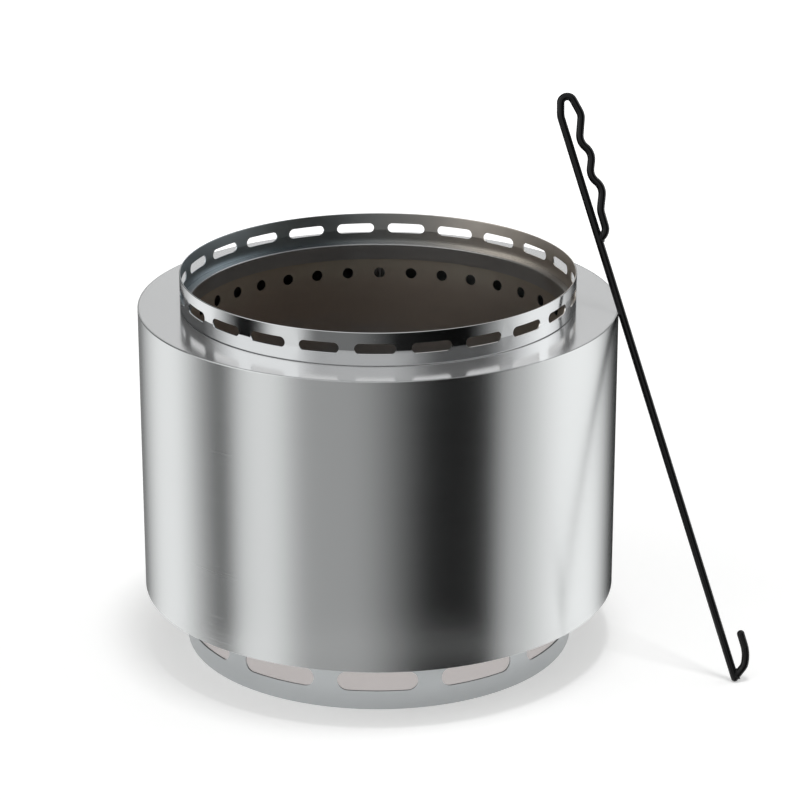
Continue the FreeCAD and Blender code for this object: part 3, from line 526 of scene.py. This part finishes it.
@dataclass(frozen=True)
class HeatedSteel(SheetSteel):
    """Steel that heat has coloured on the side that faces the drum's middle.

    That side is within hot_reach of the drum's axis. The heat grows from 0 at the low level to 1
    at the high one, and each colour comes in over its own span of heat. The lit side is the +X
    side, where a paler, creamier colour is painted in as painted light. Warmth is the strength of
    all these colours, and soot that of the soot.
    """

    hot_reach: float = 0.2
    side_blur: float = 0.0003
    low: float = 0.1
    high: float = 0.4
    warmth: float = 0.5
    dull: float = 0.06
    waver: float = 0.25
    waver_size: Triple = (0.09, 0.09, 0.03)
    slate: Colour = (0.42, 0.45, 0.50)
    slate_heat: Span = (0.05, 0.35)
    bronze: Colour = (0.50, 0.36, 0.26)
    bronze_heat: Span = (0.50, 0.78)
    straw: Colour = (0.64, 0.56, 0.42)
    straw_heat: Span = (0.80, 1.0)
    # painted light: the side towards +X is painted paler and creamier
    lit_side: Colour = (0.66, 0.58, 0.49)
    lit_side_share: float = 0.35
    lit_side_place: Span = (-0.1, 0.17)
    lit_side_waver: float = 0.1
    soot: float = 0.3
    soot_colour: Colour = (0.06, 0.055, 0.05)
    soot_size: Triple = (0.05, 0.05, 0.12)
    soot_levels: Span = (0.42, 0.75)
    soot_burnt_off: Span = (0.1, 0.9)
    soot_cover: float = 0.8
    soot_dulling: float = 0.5

    def tinted(self, recipe: Recipe, plain: bpy.types.NodeSocket, heat: Signal,
               toward_lit_side: Signal) -> bpy.types.NodeSocket:
        """The metal's colour with its heat colours and the painted light on its +X side.

        Args:
            recipe: The material's tree.
            plain: The colour of the bare metal.
            heat: How hot the metal has been.
            toward_lit_side: How far round to the +X side the point is, where light is painted in.

        Returns:
            The output with the colour.
        """
        colour = plain
        for span, tint in ((self.slate_heat, self.slate), (self.bronze_heat, self.bronze),
                           (self.straw_heat, self.straw)):
            colour = recipe.mix(heat.rise(*span), colour, tint)
        # painted light: a paler, creamier colour towards the +X side
        return recipe.mix(toward_lit_side * self.lit_side_share, colour, self.lit_side)

    def paint(self, recipe: Recipe) -> None:
        """Fill the tree with metal, its heat colours and a little soot.

        Args:
            recipe: The empty tree.
        """
        across, _, level = recipe.split(recipe.place())
        marks = self.marks(recipe)
        waver = (recipe.noise(self.waver_size) - NOISE_MIDDLE) * self.waver
        heat = (level - self.low) / (self.high - self.low) + waver
        # how far towards the +X side, where light is painted in
        toward_lit_side = (across + waver * self.lit_side_waver).rise(*self.lit_side_place)
        facing = 1 - recipe.reach().rise(self.hot_reach - self.side_blur,
                                         self.hot_reach + self.side_blur)
        plain = self.tone(recipe, marks)
        tinted = self.tinted(recipe, plain, heat, toward_lit_side)
        coloured = recipe.mix(facing * self.warmth, plain, tinted)
        patches = recipe.noise(self.soot_size, Detail.RAGGED).rise(*self.soot_levels)
        sooty = patches * facing * (1 - heat.rise(*self.soot_burnt_off))
        colour = recipe.mix(sooty * self.soot, coloured, self.soot_colour)
        roughness = self.dullness(recipe, marks) + sooty * (self.soot * self.soot_dulling) \
            + facing * self.dull
        self.metal(recipe, colour, roughness, self.relief(recipe, marks),
                   1.0 - sooty * (self.soot * self.soot_cover))


@dataclass(frozen=True)
class CastIron(Finish):
    """Dark iron plate with a sandy skin, a breath of rust and pale ash in its hollows."""

    colour: Colour = (0.055, 0.052, 0.05)
    metallic: float = 0.55
    roughness: float = 0.62
    sand_size: float = 0.0012
    sand_strength: float = 0.65
    sand_height: float = 0.00012
    sand_dulling: float = 0.2
    lump_size: float = 0.008
    lump_height: float = 0.0003
    rust: Colour = (0.16, 0.075, 0.04)
    rust_size: float = 0.03
    rust_levels: Span = (0.5, 0.72)
    rust_share: float = 0.5
    ash: Colour = (0.42, 0.40, 0.38)
    ash_size: float = 0.02
    ash_levels: Span = (0.52, 0.75)
    ash_hollows: Span = (0.45, 0.6)
    ash_share: float = 0.4
    ash_cover: float = 0.5

    def paint(self, recipe: Recipe) -> None:
        """Fill the tree with rough iron.

        Args:
            recipe: The empty tree.
        """
        sand = recipe.noise(even(self.sand_size), Detail.RAGGED, rough=self.sand_strength)
        lumps = recipe.noise(even(self.lump_size))
        rusting = recipe.noise(even(self.rust_size), Detail.RAGGED).rise(*self.rust_levels)
        settled = recipe.noise(even(self.ash_size), Detail.DUSTY).rise(*self.ash_levels)
        dusty = settled * sand.rise(*self.ash_hollows) * self.ash_share
        rusty = recipe.mix(rusting * self.rust_share, self.colour, self.rust)
        recipe.surface(Base_Color=recipe.mix(dusty, rusty, self.ash),
                       Metallic=self.metallic - dusty * self.ash_cover,
                       Roughness=self.roughness + sand * self.sand_dulling,
                       Normal=recipe.bump(sand * self.sand_height + lumps * self.lump_height))


@dataclass(frozen=True)
class SatinPaint(Finish):
    """Heat-proof black paint with a fine orange peel, rubbed at its tip and dusty in patches."""

    colour: Colour = (0.004, 0.004, 0.0045)
    roughness: float = 0.15
    shine: float = 0.26
    coat: float = 0.12
    coat_roughness: float = 0.06
    peel_size: float = 0.0011
    peel_height: float = 0.00002
    dust_size: Triple = (0.02, 0.02, 0.05)
    dust_dulling: float = 0.16
    rubbed: Colour = (0.03, 0.028, 0.027)
    rubbed_level: Span = (0.01, 0.09)
    rubbed_patches: Span = (0.35, 0.65)
    rubbed_share: float = 0.5
    rubbed_dulling: float = 0.18

    def paint(self, recipe: Recipe) -> None:
        """Fill the tree with satin paint.

        Args:
            recipe: The empty tree.
        """
        peel = recipe.noise(even(self.peel_size), Detail.SOFT)
        dust = recipe.noise(self.dust_size, Detail.RAGGED)
        _, _, level = recipe.split(recipe.place())
        worn = (1 - level.rise(*self.rubbed_level)) * dust.rise(*self.rubbed_patches)
        roughness = self.roughness + (dust - NOISE_MIDDLE) * self.dust_dulling \
            + worn * self.rubbed_dulling
        recipe.surface(Base_Color=recipe.mix(worn * self.rubbed_share, self.colour, self.rubbed),
                       Metallic=0.0, Roughness=roughness, Specular_IOR_Level=self.shine,
                       Coat_Weight=self.coat, Coat_Roughness=self.coat_roughness,
                       Normal=recipe.bump(peel * self.peel_height))


# Sub-assemblies


@dataclass
class SubAssembly:
    """Pieces of the pit that are dressed together."""

    nodes: Mapping[str, bpy.types.Object]

    def dress(self, finish: Finish, *names: str) -> None:
        """Give CAD nodes a finish.

        Args:
            finish: What they wear.
            names: The nodes.
        """
        for name in names:
            for place in self.nodes[name].material_slots:
                place.material = finish.material()
            LOG.info("%s wears %s", name, finish.name)

    def build(self) -> None:
        """Make the sub-assembly's own pieces and dress its nodes."""
        raise NotImplementedError


@dataclass
class Stand(SubAssembly):
    """The slotted ring on the ground."""

    finish: SheetSteel = SheetSteel("satin_base_steel", colour=(0.535, 0.555, 0.565),
                                    roughness=0.34, grain_depth=0.000006, handling_dulling=0.06,
                                    anisotropy=0.3)

    def build(self) -> None:
        """Dress the base ring."""
        self.dress(self.finish, "base_ring")


@dataclass
class Drum(SubAssembly):
    """The shell, its deck and what closes it underneath."""

    rim_roll: float = 0.0013
    deck: SheetSteel = SheetSteel("polished_deck_steel", colour=(0.74, 0.74, 0.745),
                                  roughness=0.16, grain=Grain.ACROSS, grain_depth=0.0000012,
                                  grain_shade=0.02, handling_dulling=0.02, haze=0.18)
    plain: SheetSteel = SheetSteel("mill_steel", colour=(0.55, 0.55, 0.545), roughness=0.38,
                                   grain=Grain.ACROSS, handling_dulling=0.08)
    fastener: SheetSteel = SheetSteel("turned_steel", colour=(0.62, 0.62, 0.61), roughness=0.28,
                                      grain=Grain.CLOUDY, handling_dulling=0.05)

    def build(self) -> None:
        """Dress the drum's sheets and fasteners."""
        _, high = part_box("outer_shell")
        rim = Edge(high.z - self.rim_roll, high.z, self.rim_roll * ROLL_DEPTH)
        shell = SeamedSheet("brushed_shell_steel", colour=(0.72, 0.73, 0.73), roughness=0.26,
                            grain_depth=0.000001, grain_shade=0.015, grain_dulling=0.22,
                            handling_dulling=0.02, scratch_dulling=0.004, anisotropy=0.85,
                            edges=(rim,))
        self.dress(shell, "outer_shell")
        self.dress(self.deck, "top_deck")
        self.dress(self.plain, "bottom_plate", "stand_tabs")
        self.dress(self.fastener, "tab_rivets", "rim_screws", "rim_nuts")


@dataclass
class BurnChamber(SubAssembly):
    """The inner wall, its floor and their fasteners."""

    wall_middle: float = 0.2013
    fastener: SheetSteel = SheetSteel("heated_fastener_steel", colour=(0.50, 0.48, 0.45),
                                      roughness=0.36, grain=Grain.CLOUDY, handling_dulling=0.08)

    def build(self) -> None:
        """Dress the chamber."""
        low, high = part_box("inner_wall")
        wall = HeatedSteel("heated_chamber_steel", colour=(0.64, 0.63, 0.61), roughness=0.36,
                           hot_reach=self.wall_middle, low=low.z, high=high.z, warmth=0.6,
                           soot=0.3, handling_dulling=0.08)
        floor = HeatedSteel("heated_floor_steel", colour=(0.58, 0.57, 0.55), roughness=0.4,
                            grain=Grain.ACROSS, hot_reach=WHOLE_PIECE, low=low.z, high=high.z,
                            warmth=0.6, soot=0.5, handling_dulling=0.1)
        self.dress(wall, "inner_wall")
        self.dress(floor, "chamber_floor")
        self.dress(self.fastener, "floor_rivets", "chamber_bolts", "chamber_washers",
                   "chamber_nuts")


@dataclass
class FlameRing(SubAssembly):
    """The slotted collar and the band that seats it.

    The heat colours start below the collar's foot and would go on above its edge.
    """

    wall_middle: float = 0.20525
    foot_roll: float = 0.001
    flare_start: float = 0.0155
    flare_slope: float = 0.105
    heat_below: float = 0.06
    heat_above: float = 0.02
    seat_heat_below: float = 0.03

    def build(self) -> None:
        """Dress the flame ring."""
        low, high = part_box("flame_collar")
        flare_level = low.z + self.flare_start
        foot = Edge(low.z + self.foot_roll, low.z, self.foot_roll * ROLL_DEPTH)
        flare = Edge(flare_level, high.z, (high.z - flare_level) * self.flare_slope, rolled=False)
        collar = HeatedSteel("polished_collar_steel", colour=(0.735, 0.745, 0.75), roughness=0.11,
                             grain_depth=0.0000015, grain_shade=0.02, hot_reach=self.wall_middle,
                             low=low.z - self.heat_below, high=high.z + self.heat_above,
                             warmth=0.85, soot=0.0, handling_dulling=0.03, anisotropy=0.3,
                             # the collar's inner side is coloured dark slate grey, with painted
                             # light in pale cream towards +X
                             dull=0.24, slate=(0.22, 0.29, 0.33), bronze=(0.24, 0.29, 0.32),
                             straw=(0.36, 0.34, 0.30), lit_side=(0.78, 0.68, 0.58), lit_side_share=0.9,
                             edges=(foot, flare))
        seat = HeatedSteel("heated_seat_steel", colour=(0.6, 0.59, 0.57), roughness=0.26,
                           hot_reach=WHOLE_PIECE, low=low.z - self.seat_heat_below, high=high.z,
                           warmth=0.5, soot=0.15)
        self.dress(collar, "flame_collar")
        self.dress(seat, "seat_ring")


@dataclass
class AshTray(SubAssembly):
    """The lift-out pan, its ears and its bail."""

    heat_above: float = 0.1
    wire: SheetSteel = SheetSteel("drawn_wire", colour=(0.58, 0.58, 0.57), roughness=0.3,
                                  grain=Grain.CLOUDY)

    def build(self) -> None:
        """Dress the pan and its bail."""
        low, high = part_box("ash_pan")
        pan = HeatedSteel("pan_steel", colour=(0.5, 0.49, 0.48), roughness=0.38,
                          grain=Grain.ACROSS, hot_reach=WHOLE_PIECE, low=low.z,
                          high=high.z + self.heat_above, warmth=0.45, soot=0.7,
                          handling_dulling=0.1)
        self.dress(pan, "ash_pan", "bail_ears")
        self.dress(self.wire, "ear_rivets", "pan_bail")


@dataclass
class Grate(SubAssembly):
    """The slotted plate that stands on its legs in the pan."""

    iron: CastIron = CastIron("cast_grate_iron")

    def build(self) -> None:
        """Dress the grate and its legs."""
        self.dress(self.iron, "fire_grate", "grate_legs")


@dataclass
class Poker(SubAssembly):
    """The leaning poker, with the weld beads where its handle and hook join the rod.

    The poker's own frame has its origin at the centre of the round tip, Z up the rod and the hook
    towards +X. A weld's slope is the rise of its side rod from level. The middle of a bead stands
    off the rod by its share of the bead's radius, and no bead comes nearer the floor than its gap.
    """

    tip: Triple = (0.3706590, -0.1385081, 0.004)
    lean: float = 22.64
    heading: float = 141.63
    turn: float = -142.27
    rod_radius: float = 0.004
    handle_weld_level: float = 0.4766
    handle_weld_slope: float = 31.7
    hook_weld_level: float = 0.0
    hook_weld_slope: float = 35.0
    bead_radius: float = 0.0011
    bead_stand_off: float = 0.35
    bead_sides: int = 12
    bead_ripples: int = 22
    ripple_steps: int = 8
    ripple_depth: float = 0.18
    floor_gap: float = 0.0004
    paint: SatinPaint = SatinPaint("satin_black_paint")

    def stance(self) -> Matrix:
        """The poker's place in the frame, leaning on the rim.

        Returns:
            The matrix from the poker's own frame to the model's.
        """
        turned = Matrix.Rotation(math.radians(self.heading), 4, "Z") \
            @ Matrix.Rotation(math.radians(self.lean), 4, "Y") \
            @ Matrix.Rotation(math.radians(self.turn), 4, "Z")
        return Matrix.Translation(self.tip) @ turned

    def saddle(self, level: float, slope: float) -> list[Vector]:
        """The line where a side rod of the same size meets the shaft.

        Args:
            level: How far up the shaft the side rod's axis crosses it.
            slope: The side rod's rise from level, in degrees.

        Returns:
            The points, in the poker's own frame.
        """
        along = Vector((math.cos(math.radians(slope)), 0, math.sin(math.radians(slope))))
        upward = Vector((-along.z, 0, along.x))
        sideways = Vector((0, 1, 0))
        reach = self.rod_radius + self.bead_radius * self.bead_stand_off
        steps = self.bead_ripples * self.ripple_steps
        points = []
        for step in range(steps):
            angle = math.tau * step / steps
            rim = (upward * math.cos(angle) + sideways * math.sin(angle)) * self.rod_radius
            out = math.sqrt(reach ** 2 - rim.y ** 2)
            points.append(Vector((0, 0, level)) + rim + along * ((out - rim.x) / along.x))
        return points

    def bead_rings(self, mesh: bmesh.types.BMesh,
                   points: Sequence[Vector]) -> list[list[bmesh.types.BMVert]]:
        """The rings of vertices round a weld bead's line, wide and narrow with its ripples.

        Args:
            mesh: The mesh that takes the vertices.
            points: The closed line, in the poker's own frame.

        Returns:
            A ring for each point.
        """
        stance = self.stance()
        centre = sum(points, Vector()) / len(points)
        rings = []
        for index, point in enumerate(points):
            ahead = (points[(index + 1) % len(points)] - points[index - 1]).normalized()
            outward = (point - centre).normalized()
            outward = (outward - ahead * outward.dot(ahead)).normalized()
            upward = ahead.cross(outward)
            ripple = abs(math.sin(math.pi * self.bead_ripples * index / len(points)))
            radius = self.bead_radius * (1 - self.ripple_depth + self.ripple_depth * ripple)
            ring = []
            for side in range(self.bead_sides):
                angle = math.tau * side / self.bead_sides
                spoke = outward * math.cos(angle) + upward * math.sin(angle)
                spot = stance @ (point + spoke * radius)
                spot.z = max(spot.z, self.floor_gap)
                ring.append(mesh.verts.new(spot))
            rings.append(ring)
        return rings

    def bead(self, name: str, points: Sequence[Vector]) -> None:
        """Add a rippled weld bead on a closed line, on the poker's body.

        Args:
            name: The piece's name.
            points: The line, in the poker's own frame.
        """
        mesh = bmesh.new()
        rings = self.bead_rings(mesh, points)
        for index, ring in enumerate(rings):
            next_ring = rings[(index + 1) % len(rings)]
            for side in range(self.bead_sides):
                after = (side + 1) % self.bead_sides
                face = mesh.faces.new((ring[side], next_ring[side], next_ring[after], ring[after]))
                face.smooth = True
        bmesh.ops.recalc_face_normals(mesh, faces=mesh.faces[:])
        data = bpy.data.meshes.new(name)
        mesh.to_mesh(data)
        mesh.free()
        piece = bpy.data.objects.new(name, data)
        bpy.context.scene.collection.objects.link(piece)
        data.materials.append(self.paint.material())
        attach(piece, "poker")
        LOG.info("%s added", name)

    def build(self) -> None:
        """Dress the rod and hook and add their weld beads."""
        self.dress(self.paint, "poker_shaft", "poker_hook")
        self.bead("handle_weld", self.saddle(self.handle_weld_level, self.handle_weld_slope))
        self.bead("hook_weld", self.saddle(self.hook_weld_level, self.hook_weld_slope))


# Studio


@dataclass(frozen=True)
class Panel:
    """A tall light panel round the studio, from its edges' azimuths in degrees.

    An azimuth is 0 behind the camera and grows to the right. The light grows from start to full and
    fades from fade to end. It has one strength low down, one just under the horizon and one above
    it.
    """

    name: str
    start: float
    full: float
    fade: float
    end: float
    low: float
    level: float
    high: float


PANELS = (
    Panel("left_backdrop", -181.0, -180.0, -171.0, -158.0, 0.45, 0.3, 0.0),
    Panel("left_softbox", -170.0, -125.0, -116.0, -77.0, 1.06, 0.0, 0.0),
    Panel("left_softbox_top", -166.0, -117.0, -113.0, -82.0, 0.0, 1.03, 0.0),
    Panel("left_edge_panel", -82.0, -67.0, -56.0, -31.0, 0.45, 0.0, 0.0),
    Panel("left_edge_panel_top", -73.0, -57.0, -50.0, -33.0, 0.0, 0.68, 0.0),
    Panel("left_upper_panel", -121.0, -85.0, -52.0, -28.0, 0.0, 0.0, 1.26),
    Panel("front_wall", -82.0, -67.0, -14.0, 27.0, 0.42, 0.0, 0.0),
    Panel("front_wall_top", -78.0, -62.0, -16.0, 14.0, 0.0, 0.17, 0.0),
    Panel("front_upper_panel", -46.0, -26.0, 6.0, 38.0, 0.0, 0.0, 0.60),
    Panel("right_fill", 51.0, 68.0, 125.0, 158.0, 0.60, 0.0, 0.0),
    Panel("right_softbox", 62.0, 104.0, 120.0, 157.0, 0.53, 0.0, 0.0),
    Panel("right_softbox_top", 50.0, 100.0, 108.0, 164.0, 0.0, 1.05, 0.0),
    Panel("right_upper_panel", 61.0, 112.0, 113.0, 151.0, 0.0, 0.0, 1.5),
)


@dataclass(frozen=True)
class Lamp:
    """A square softbox that hangs over the pit and faces its foot."""

    name: str
    place: Triple
    side: float
    power: float


@dataclass
class Studio:
    """White studio with soft panels round the pit, a pale floor and the camera.

    Heights on the world are the sines of angles above the horizon. The back wall stands opposite
    the camera. The floor's sheen is its reflection in the steel, which fades out over the last of
    the sheen's reach and keeps close to the drum.
    """

    panels: tuple[Panel, ...] = PANELS
    low_heights: Span = (-0.29, -0.21)
    horizon_heights: Span = (-0.07, 0.08)
    panel_tops: Span = (0.60, 0.88)
    ambient: float = 0.004
    ceiling: float = 0.65
    ceiling_heights: Span = (0.60, 0.90)
    back_wall: float = 0.69
    back_wall_azimuths: Span = (165.0, 176.0)
    back_wall_heights: Span = (0.02, 0.24)
    brightest: float = 2.0
    light_colour: Colour = (0.99, 1.0, 1.0)
    lamp: Lamp = Lamp("overhead_lamp", (0.35, -0.30, 8.0), 1.25, 190.0)
    floor_half: float = 6.0
    floor_colour: Colour = (0.80, 0.80, 0.80)
    floor_glow: float = 0.375
    glow_colour: Colour = (1.0, 0.995, 0.985)
    # painted shade: the pinkish colour of the floor's glow under the pit
    shadow_tint_colour: Colour = (0.97, 0.90, 0.88)
    shadow_tint_reach: float = 0.205
    shadow_tint_blur: float = 0.02
    far_glow: float = 0.40
    far_reach: float = 0.36
    sheen_reach: float = 0.17
    sheen_fade: float = 0.6
    sheen_radius: float = 0.212
    sheen_blur: float = 0.012
    sheen_run: float = 0.94
    camera_place: Triple = (0.0227, -2.9528, 1.3366)
    camera_pitch: float = 69.98
    lens: float = 134.2
    sensor: float = 36.0

    def light(self) -> None:
        """Light the world: white to the camera, panels to everything else."""
        scene = bpy.context.scene
        scene.world = bpy.data.worlds.new("studio")
        scene.world.use_nodes = True
        scene.world.cycles.sampling_method = "NONE"
        recipe = Recipe(scene.world.node_tree)
        direction = recipe.node("ShaderNodeTexCoord").outputs["Generated"]
        across, depth, height = recipe.split(direction)
        azimuth = across.math("ARCTAN2", depth * -1.0) * math.degrees(1)
        tall = 1 - height.rise(*self.panel_tops)
        level, above = height.rise(*self.low_heights), height.rise(*self.horizon_heights)
        glow = height.rise(*self.ceiling_heights) * self.ceiling + self.ambient
        for panel in self.panels:
            window = azimuth.band(panel.start, panel.full, panel.fade, panel.end) * tall
            strength = level * (panel.level - panel.low) + above * (panel.high - panel.level) \
                + panel.low
            glow = glow + window * strength
        opposite = abs(azimuth).rise(*self.back_wall_azimuths)
        glow = glow + opposite * height.rise(*self.back_wall_heights) * tall * self.back_wall
        light = recipe.mix(glow / self.brightest, BLACK, shade(self.light_colour, self.brightest))
        seen = recipe.signal("ShaderNodeLightPath", output="Is Camera Ray")
        shown = {"Color": recipe.mix(seen, light, WHITE), "Strength": 1.0}
        background = recipe.node("ShaderNodeBackground", {}, shown)
        recipe.node("ShaderNodeOutputWorld", {}, {"Surface": background.outputs[0]})
        LOG.info("studio has %d panels", len(self.panels))

    def hang_lamp(self) -> None:
        """Hang the softbox, which lights the floor and doesn't show in the steel."""
        data = bpy.data.lights.new(self.lamp.name, "AREA")
        data.size = self.lamp.side
        data.energy = self.lamp.power
        light = bpy.data.objects.new(self.lamp.name, data)
        light.location = self.lamp.place
        light.rotation_euler = (-Vector(self.lamp.place)).to_track_quat("-Z", "Y").to_euler()
        light.visible_glossy = False
        bpy.context.scene.collection.objects.link(light)

    def floor_material(self) -> bpy.types.Material:
        """The pale floor's material, which keeps the pit's shadow and has a painted shadow tint
        under the pit.

        Returns:
            The material.
        """
        material = bpy.data.materials.new("pale_floor")
        material.use_nodes = True
        recipe = Recipe(material.node_tree)
        path = recipe.node("ShaderNodeLightPath").outputs
        seen, glossy = Signal(recipe, path["Is Camera Ray"]), Signal(recipe, path["Is Glossy Ray"])
        length = Signal(recipe, path["Ray Length"])
        reach = recipe.reach()
        long = length.rise(self.sheen_reach * self.sheen_fade, self.sheen_reach)
        outside = (reach - length * self.sheen_run).rise(self.sheen_radius,
                                                         self.sheen_radius + self.sheen_blur)
        faded = (long + outside).math("MINIMUM", 1.0)
        beyond = reach.rise(self.far_reach, self.floor_half / 2)
        # painted shade: under the pit the glow takes a pinkish shadow tint
        shadow_tint = 1 - reach.rise(self.shadow_tint_reach - self.shadow_tint_blur, self.shadow_tint_reach)
        pale = recipe.node("ShaderNodeBsdfDiffuse", {}, {"Color": self.floor_colour})
        glow = recipe.node("ShaderNodeEmission", {}, {
            "Color": recipe.mix(shadow_tint, self.glow_colour, self.shadow_tint_colour),
            "Strength": (seen + glossy) * self.floor_glow + seen * beyond * self.far_glow})
        lit = recipe.node("ShaderNodeAddShader", {}, {0: pale.outputs[0], 1: glow.outputs[0]})
        clear = recipe.node("ShaderNodeBsdfTransparent")
        laid = recipe.node("ShaderNodeMixShader", {}, {
            0: glossy * faded, 1: lit.outputs[0], 2: clear.outputs[0]})
        recipe.node("ShaderNodeOutputMaterial", {}, {"Surface": laid.outputs[0]})
        return material

    def floor(self) -> None:
        """Lay the floor."""
        mesh = bmesh.new()
        bmesh.ops.create_grid(mesh, x_segments=1, y_segments=1, size=self.floor_half)
        data = bpy.data.meshes.new("studio_floor")
        mesh.to_mesh(data)
        mesh.free()
        floor = bpy.data.objects.new("studio_floor", data)
        bpy.context.scene.collection.objects.link(floor)
        data.materials.append(self.floor_material())

    def camera(self) -> None:
        """Set the camera where the photograph was taken from."""
        data = bpy.data.cameras.new("camera")
        data.lens = self.lens
        data.sensor_width = self.sensor
        camera = bpy.data.objects.new("camera", data)
        camera.location = self.camera_place
        camera.rotation_euler = (math.radians(self.camera_pitch), 0.0, 0.0)
        bpy.context.scene.collection.objects.link(camera)
        bpy.context.scene.camera = camera

    def build(self) -> None:
        """Light the studio, lay the floor and set the camera."""
        self.light()
        self.hang_lamp()
        self.floor()
        self.camera()
        bpy.context.scene.view_settings.view_transform = "Standard"


def clear_startup() -> None:
    """Remove the objects of Blender's startup scene."""
    for item in list(bpy.data.objects):
        bpy.data.objects.remove(item, do_unlink=True)


def main() -> None:
    """Load the frame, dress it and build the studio."""
    logging.basicConfig(level=logging.INFO, format="%(message)s")
    clear_startup()
    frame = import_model()
    nodes = frame["nodes"]
    for piece in (Stand(nodes), Drum(nodes), BurnChamber(nodes), FlameRing(nodes),
                  AshTray(nodes), Grate(nodes), Poker(nodes)):
        LOG.info("building %s", type(piece).__name__)
        piece.build()
    Studio().build()


if __name__ == "__main__":
    main()
